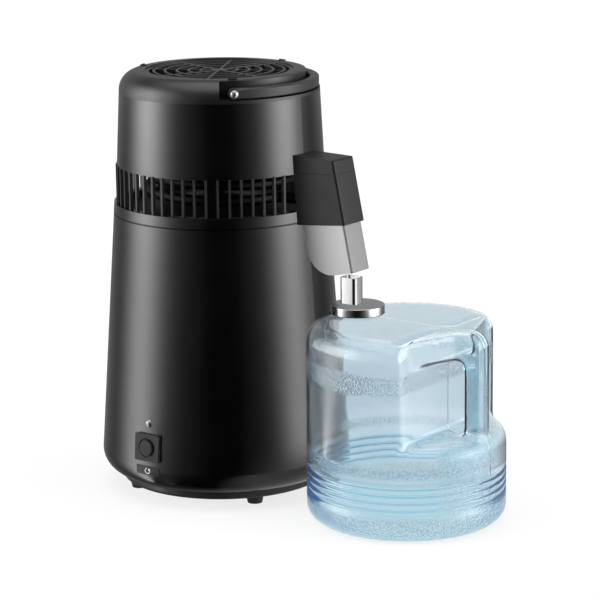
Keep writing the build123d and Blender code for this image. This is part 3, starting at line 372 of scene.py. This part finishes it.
silicone = (0.62, 0.62, 0.6), (0.7, 0.7, 0.68)
brass = (0.6, 0.46, 0.22), (0.7, 0.55, 0.3)
plain = (1, 1, 1)
finishes = {
    **satins({
        "shell_paint": ("satinPaint", grey(0.0013), grey(0.0019), (0.18, 0.22), 1400, 0.00002),
        "black_plastic":
            ("blackPlastic", grey(0.016), grey(0.022), (0.38, 0.46), 2600, 0.00005, 0.35),
        "button_plastic":
            ("buttonPlastic", grey(0.018), grey(0.023), (0.45, 0.52), 2600, 0.00004, 0.12),
        # plastic inside, darker than the black plastic outside: painted shade
        "inner_plastic": ("innerPlasticPaintedShade", grey(0.005), grey(0.008), (0.45, 0.55), 1800, 0.00006),
        "label_plate": ("labelFilm", grey(0.006), grey(0.008), (0.4, 0.46), 3000, 0.00002, 0.2),
        "motor_can": ("motorEnamel", grey(0.03), grey(0.04), (0.35, 0.45), 900, 0.00005),
        "foot_rubber": ("footRubber", grey(0.010), grey(0.016), (0.6, 0.75), 1500, 0.0001),
        "seal_silicone": ("sealSilicone", *silicone, (0.4, 0.5), 700, 0.00005),
    }),
    **steels({
        # steel inside, near black and rough: painted shade that keeps the gaps of the vent dark
        "steel": ("paintedShadeSteel", grey(0.012), grey(0.018), (0.5, 0.6)),
        "steel_hardware": ("platedSteel", grey(0.3), grey(0.36), (0.36, 0.44), plain, 500),
        "heater_aluminium":
            ("castAluminium", grey(0.5), grey(0.6), (0.4, 0.55), plain, 300, 0.00008),
        "pin_brass": ("pinBrass", *brass, (0.25, 0.35), (1, 0.1, 1)),
    }),
    "jug_plastic": clearBlue("clearBlue"),
}
capCentre = (0.149274, 0)
spoutBlack = grey(0.01), grey(0.014)
spoutPlastic = satinFinish("spoutPlastic", *spoutBlack, (0.38, 0.44), 2200, 0.00006, 0.2)
ownFinish = {
    **satins({
        "reset_bezel":
            ("bezelPlastic", grey(0.02), grey(0.025), (0.46, 0.54), 2600, 0.00005, 0.12),
        "vent_ring": ("ventPlastic", grey(0.018), grey(0.024), (0.36, 0.44), 2600, 0.00004, 0.25),
        "top_cover": ("coverPlastic", grey(0.004), grey(0.006), (0.36, 0.42), 2200, 0.00005),
    }),
    "spout_housing": spoutPlastic,
    "spout_cover": spoutPlastic,
    "spout_chute": chuteSteelPaintedShade("chuteSteelPaintedShade"),
    "drip_tube": steelFinish("tubeSteel", grey(0.34), grey(0.4), (0.18, 0.24), (1, 1, 0.04)),
    "jug_cap": spunSteel("capSteel", capCentre, grey(0.34), grey(0.42), (0.2, 0.3)),
    "boiler_pot": potSteelPaintedRimShade("potSteelPaintedRimShade"),
}
finishOf = {node: ownFinish.get(node, finishes[slotOf[node]]) for node in nodes}
for node, part in nodes.items():
    part.data.materials.clear()
    part.data.materials.append(finishOf[node])
print("finishes on every node")

# Studio
studio = {
    "up": 2.6, "upFrom": (0.7, 0.95),  # light from above, and the rise over which it sets in
    "sidesTo": (0.35, 0.75),  # the rise over which the side light fades out
    "front": 0.01, "rear": 0.46, "rearFrom": (90, 140),  # even light, degrees between the two
    "shade": 0.03, "shadeFrom": (12, 24),  # share of light straight in front, degrees
    "inside": 0.6,  # share of the side light that is mirrored inside clear plastic
    "body": 0.11,  # radius of the body that mirrors the floor
}
lobes = (  # strength, bearing from the camera, spread
    (8.2, -87.5, 15),
    (7.7, 77, 14.5),
    (0.5, -60, 22),
    (0.4, 52, 20),
)
ground = {
    "half": 6.0, "colour": (0.9, 0.9, 0.9, 1), "rough": 0.9,
    "white": 0.8,  # share of plain white where it is seen straight
    "far": (2.6, 3.2), "near": 0.6,  # share of the glow near by, metres to the whole of it
    "jug": 0.8, "jugReach": (0.12, 0.17),  # even glow round the jug
}


def bearingOf(tree, way):
    return math(tree, "ARCTAN2", along(tree, way, rightWay), along(tree, way, -awayWay))


def studioGlow(tree, way, shift=0.0):  # soft boxes at both sides, nothing in front
    def seenFrom(bearing):  # from the point of the body that mirrors this bearing
        half = radians(bearing) / 2
        spot = (rightWay * sin(half) - awayWay * cos(half)) * shift
        return bearingOf(tree, vector(tree, "SUBTRACT", way, tuple(spot)))

    turn = math(tree, "ABSOLUTE", seenFrom(0))
    rearFrom, shadeFrom = (map(radians, studio[key]) for key in ("rearFrom", "shadeFrom"))
    total = between(tree, turn, studio["front"], studio["rear"], *rearFrom)
    for strength, bearing, spread in lobes:
        off = math(tree, "SUBTRACT", seenFrom(bearing), radians(bearing))
        off = math(tree, "DIVIDE", off, radians(spread))
        bell = math(tree, "EXPONENT", times(tree, off, off, -0.5))
        total = plus(tree, total, times(tree, bell, strength))
    return times(tree, total, between(tree, turn, studio["shade"], 1.0, *shadeFrom, "SMOOTHSTEP"))


def rayKinds(tree):  # seen straight or through clear plastic, mirrored, after passing it
    rays = addNode(tree, "ShaderNodeLightPath").outputs
    passed = math(tree, "GREATER_THAN", rays["Transmission Depth"], 0.5)
    seen = math(tree, "MAXIMUM", rays["Is Camera Ray"], passed)
    mirrored = times(tree, rays["Is Glossy Ray"], without(tree, rays["Is Transmission Ray"]))
    return seen, mirrored, passed


def setWorld():
    world = bpy.data.worlds.new("studioWorld")
    scene.world = world
    world.use_nodes = True
    tree = world.node_tree
    seen, mirrored, passed = rayKinds(tree)
    way = addNode(tree, "ShaderNodeTexCoord").outputs["Generated"]
    rise = parted(tree, way)[2]
    fade = between(tree, rise, 1.0, 0.0, *studio["sidesTo"], "SMOOTHSTEP")
    sides = times(tree, studioGlow(tree, way), fade)
    above = between(tree, rise, 0.0, studio["up"], *studio["upFrom"], "SMOOTHSTEP")
    light = times(tree, plus(tree, sides, above), without(tree, seen))
    inside = times(tree, sides, mirrored, passed, studio["inside"])
    strength = plus(tree, light, inside, seen)
    plug(tree, tree.nodes["Background"], {"Strength": strength, "Color": (1, 1, 1, 1)})


def setFloor():
    mesh = bpy.data.meshes.new("studioFloor")
    half = ground["half"]
    corners = [(-half, -half, 0), (half, -half, 0), (half, half, 0), (-half, half, 0)]
    mesh.from_pydata(corners, [], [(0, 1, 2, 3)])
    floor = bpy.data.objects.new("studioFloor", mesh)
    scene.collection.objects.link(floor)
    mat, tree, bsdf = newFinish("paleFloor")
    seen, mirrored, passed = rayKinds(tree)
    plug(tree, bsdf, {
        "Base Color": ground["colour"],
        "Roughness": ground["rough"],
        "Specular IOR Level": 0.0,
    })
    byJug = between(tree, fromAxis(tree, (jug["axis"], 0)), 1.0, 0.0, *ground["jugReach"])
    reach = between(tree, fromAxis(tree, (0, 0)), ground["near"], 1.0, *ground["far"])
    glow = studioGlow(tree, ownPlace(tree), studio["body"])
    glow = times(tree, glow, reach, without(tree, byJug))
    glow = plus(tree, glow, times(tree, byJug, ground["jug"]))
    white = addNode(tree, "ShaderNodeEmission", Strength=1.0).outputs[0]
    shine = addNode(tree, "ShaderNodeEmission", Strength=glow).outputs[0]

    def layered(share, below, above):
        return addNode(tree, "ShaderNodeMixShader", i0=share, i1=below, i2=above).outputs[0]

    lit = layered(times(tree, seen, ground["white"]), bsdf.outputs[0], white)
    whole = layered(times(tree, mirrored, without(tree, passed)), lit, shine)
    plug(tree, tree.nodes["Material Output"], {"Surface": whole})
    mesh.materials.append(mat)


setWorld()
setFloor()
print("studio set")

# Piece helpers
edges = {"weld": 2e-6, "flat": 0.4, "steps": 2, "angle": 35}  # metres, degrees


def addPiece(name, mesh, node, finish=None):
    piece = bpy.data.objects.new(name, mesh)
    scene.collection.objects.link(piece)
    mesh.materials.clear()
    mesh.materials.append(finish or finishOf[node])
    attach(piece, bodyOf[node])
    return piece


def cleanCopy(node):  # the node's mesh, welded
    bm = bmesh.new()
    bm.from_mesh(nodes[node].data)
    bmesh.ops.remove_doubles(bm, verts=bm.verts, dist=edges["weld"])
    return bm


def toMesh(bm, name):
    mesh = bpy.data.meshes.new(name)
    bm.to_mesh(mesh)
    bm.free()
    if "custom_normal" in mesh.attributes:
        mesh.attributes.remove(mesh.attributes["custom_normal"])
    mesh.shade_smooth()
    return mesh


def bake(piece):  # apply the piece's modifiers
    solved = piece.evaluated_get(bpy.context.evaluated_depsgraph_get())
    shape = bpy.data.meshes.new_from_object(solved)
    old, piece.data = piece.data, shape
    piece.modifiers.clear()
    bpy.data.meshes.remove(old)
    return piece


def addBevel(piece, width, steps=edges["steps"], angle=edges["angle"]):
    bevel = piece.modifiers.new("edges", "BEVEL")
    bevel.width, bevel.segments = width * mm, steps
    bevel.limit_method, bevel.angle_limit = "ANGLE", radians(angle)
    bevel.harden_normals, bevel.use_clamp_overlap, bevel.miter_outer = True, True, "MITER_SHARP"


def softEdges(node, name, width):
    bm = cleanCopy(node)
    flat = radians(edges["flat"])
    bmesh.ops.dissolve_limit(bm, angle_limit=flat, verts=bm.verts, edges=bm.edges)
    piece = addPiece(name, toMesh(bm, name), node)
    addBevel(piece, width)
    bake(piece)
    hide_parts(node)
    return piece


softened = {  # node: piece name, edge width in mm
    "vent_ring": ("ventRing", 0.4),
    "fan_grille": ("topGrille", 0.5),
    "top_cover": ("topCover", 0.5),
    "spout_housing": ("spoutHousing", 0.6),
    "spout_cover": ("spoutCover", 0.6),
    "spout_chute": ("spoutChute", 0.2),
    "reset_bezel": ("resetBezel", 0.5),
    "drip_tube": ("dripTube", 0.25),
    "jug_cap": ("jugCap", 0.3),
    "cap_seal": ("capSeal", 0.2),
    "power_inlet": ("powerInlet", 0.5),
    "fan_inlet": ("fanInlet", 0.4),
}
made = {node: softEdges(node, name, width) for node, (name, width) in softened.items()}
for node in ("spout_housing", "spout_cover", "spout_chute", "drip_tube", "jug_cap", "cap_seal"):
    made[node].visible_glossy = False  # keeps the right soft box whole on the shells
print("edges softened on", len(softened), "nodes")

# Vent ring: ends of the bars, how far the collar laps over them, and the edge that moves
vent = {"low": 0.2612, "high": 0.2959, "lap": 0.0018, "edge": 0.0006}
band = made["vent_ring"].data
for vert in band.vertices:
    if abs(vert.co.z - vent["high"]) < vent["edge"]:
        vert.co.z -= vent["lap"]
band.materials.append(finishes["shell_paint"])  # ring and collar are satin like the shells
for face in band.polygons:
    face.material_index = int(not vent["low"] < face.center.z < vent["high"] - vent["lap"])
print("collar lapped over the vent bars")


# Jug: one blown skin with soft joins between body, web and handle
def outerSkin(node):
    bm = cleanCopy(node)
    rimLow = max(v.co.z for v in bm.verts) - 0.01 * mm
    rim = [f for f in bm.faces if min(v.co.z for v in f.verts) > rimLow]
    bmesh.ops.delete(bm, geom=rim, context="FACES")
    found = min(bm.verts, key=lambda v: v.co.z)
    skin, queue = {found}, [found]
    while queue:
        for edge in queue.pop().link_edges:
            for vert in edge.verts:
                if vert not in skin:
                    skin.add(vert)
                    queue.append(vert)
    bmesh.ops.delete(bm, geom=[v for v in bm.verts if v not in skin], context="VERTS")
    return bm


def cut(bm, height, keepAbove):
    every = [*bm.verts, *bm.edges, *bm.faces]
    sides = {"clear_inner": keepAbove, "clear_outer": not keepAbove}
    bmesh.ops.bisect_plane(bm, geom=every, plane_co=(0, 0, height), plane_no=(0, 0, 1), **sides)


def boundary(bm):
    return [e for e in bm.edges if e.is_boundary]


def blownForm(node):  # the outer skin closed at the neck, evened out and smoothed
    bm = outerSkin(node)
    mouth = boundary(bm)
    for vert in {v for e in mouth for v in e.verts}:
        vert.co.z += jug["neckUp"]
    bmesh.ops.holes_fill(bm, edges=mouth, sides=0)
    bmesh.ops.triangulate(bm, faces=bm.faces)
    form = bpy.data.objects.new("form", toMesh(bm, "form"))
    scene.collection.objects.link(form)
    even = form.modifiers.new("even", "REMESH")
    even.mode, even.voxel_size = "VOXEL", jug["voxel"]
    mesh = bake(form).data
    bpy.data.objects.remove(form)
    bm = bmesh.new()
    bm.from_mesh(mesh)
    ways = {"use_axis_x": True, "use_axis_y": True, "use_axis_z": True}
    for _ in range(jug["rounds"]):
        bmesh.ops.smooth_vert(bm, verts=bm.verts, factor=jug["ease"], **ways)
    bm.normal_update()
    return bm


def closeRim(bm):  # join the two open loops at the neck, which have the same number of points
    loops = list({v for e in boundary(bm) for v in e.verts})
    centre = sum((v.co for v in loops), Vector()) / len(loops)
    loops.sort(key=lambda v: (v.co - centre).xy.length)
    half = len(loops) // 2

    def bearing(v):
        return atan2(v.co.y - centre.y, v.co.x - centre.x)

    inner, outer = (sorted(part, key=bearing) for part in (loops[:half], loops[half:]))
    for i in range(half):
        bm.faces.new((outer[i - 1], outer[i], inner[i], inner[i - 1]))


def blownJug():
    inside = blownForm("jug_body")
    cut(inside, jug["rim"], False)
    inside.normal_update()
    outside = inside.copy()
    for vert, out in [(v, v.normal.copy()) for v in inside.verts]:
        vert.co -= out * jug["wall"]
    cut(outside, jug["joint"] + jug["strip"], True)
    foot = outerSkin("jug_body")
    cut(foot, jug["joint"] - jug["strip"], False)
    whole = bmesh.new()
    for part in (foot, outside, inside):
        whole.from_mesh(toMesh(part, "skin"))
    joint = [e for e in boundary(whole) if e.verts[0].co.z < jug["rim"] / 2]
    bmesh.ops.bridge_loops(whole, edges=joint)
    closeRim(whole)
    bmesh.ops.recalc_face_normals(whole, faces=whole.faces)
    loose = sum(not e.is_manifold for e in whole.edges)
    print("jug skin:", len(whole.faces), "faces,", loose, "open edges,", whole.calc_volume(), "m3")
    piece = addPiece("blownJug", toMesh(whole, "blownJug"), "jug_body")
    piece.visible_glossy = False
    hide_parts("jug_body")


blownJug()

# Screws: cross recess in each bright head, sizes in mm
recess = {"wide": 0.7, "long": 2.8, "deep": 0.6, "edge": 0.12, "edgeSteps": 1, "edgeAngle": 40}
faceDepth = 0.3 * mm  # points this near the top of a head are its face
pivotTurn = radians(-43.5)  # bearing of the handle's pivots


def crossCutter(spots):
    bm = bmesh.new()
    for centre, out in spots:
        side = out.cross(Vector((0, 0, 1))).normalized()
        up = side.cross(out)
        depth = out * 2 * recess["deep"] * mm
        for a, b in ((recess["long"], recess["wide"]), (recess["wide"], recess["long"])):
            for vert in bmesh.ops.create_cube(bm, size=1.0)["verts"]:
                x, y, z = vert.co
                vert.co = centre + side * x * a * mm + up * y * b * mm + depth * z
    bmesh.ops.recalc_face_normals(bm, faces=bm.faces)
    return bm


def crossHead(node, name, ways):
    bm = cleanCopy(node)
    spots = []
    for way in ways:
        out = Vector(way).normalized()
        far = max(v.co.dot(out) for v in bm.verts)
        face = [v.co.copy() for v in bm.verts if v.co.dot(out) > far - faceDepth]
        spots.append((sum(face, Vector()) / len(face), out))
    piece = addPiece(name, toMesh(bm, name), node)
    cutter = bpy.data.objects.new("cutter", toMesh(crossCutter(spots), "cutter"))
    scene.collection.objects.link(cutter)
    slot = piece.modifiers.new("recess", "BOOLEAN")
    slot.operation, slot.solver, slot.object, slot.use_self = "DIFFERENCE", "EXACT", cutter, True
    bake(piece)
    bpy.data.objects.remove(cutter)
    addBevel(piece, recess["edge"], recess["edgeSteps"], recess["edgeAngle"])
    bake(piece)
    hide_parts(node)
    print(name, "recessed:", len(piece.data.polygons), "faces")


pivotWay = Vector((cos(pivotTurn), sin(pivotTurn), 0))
crossHead("case_screw", "caseScrew", [(0, -1, 0)])
crossHead("handle_screws", "pivotScrews", [pivotWay, -pivotWay])

# Label mark: a plain round arrow printed on the plate, mm and degrees
mark = {
    "radius": 2.5, "width": 0.6, "gap": 60, "tail": 20, "steps": 30,
    "head": 1.35, "tip": 34, "root": 6,  # half width of the arrowhead, its ends along the ring
    "rise": 0.1, "sink": 0.02,  # above and below the plate's face
}
markFinish = satinFinish("printedWhite", grey(0.72), grey(0.8), (0.4, 0.5), 1800, 0.00002)


def roundArrow():
    low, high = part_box("reset_label")
    middle = (low[2] + high[2]) / 2
    plate = nodes["reset_label"]
    bm = bmesh.new()

    def put(u, v, lift):
        start = Vector((u * mm, -1, middle + v * mm))
        hit, spot = plate.ray_cast(start, Vector((0, 1, 0)))[:2]
        if not hit:
            raise RuntimeError("the mark runs off its plate")
        return bm.verts.new(spot + Vector((0, -lift * mm, 0)))

    def plateOf(outline):
        front = [put(u, v, mark["rise"]) for u, v in outline]
        back = [put(u, v, -mark["sink"]) for u, v in outline]
        bm.faces.new(front)
        bm.faces.new(back[::-1])
        for i in range(len(front)):
            bm.faces.new((front[i], front[i - 1], back[i - 1], back[i]))

    def ring(turn, radius):
        return radius * cos(turn), radius * sin(turn)

    start, stop = radians(90 - mark["gap"]), radians(90 - 360 + mark["tail"])
    inner, outer = (mark["radius"] + side * mark["width"] / 2 for side in (-1, 1))
    turns = [start + (stop - start) * i / mark["steps"] for i in range(mark["steps"] + 1)]
    for a, b in zip(turns, turns[1:]):
        plateOf([ring(a, outer), ring(b, outer), ring(b, inner), ring(a, inner)])
    tip, root = start + radians(mark["tip"]), start - radians(mark["root"])
    headIn, headOut = (mark["radius"] + side * mark["head"] for side in (-1, 1))
    plateOf([ring(root, headIn), ring(root, headOut), ring(tip, mark["radius"])])
    bmesh.ops.recalc_face_normals(bm, faces=bm.faces)
    addPiece("resetMark", toMesh(bm, "resetMark"), "reset_label", markFinish)


roundArrow()
print("screws and mark done")
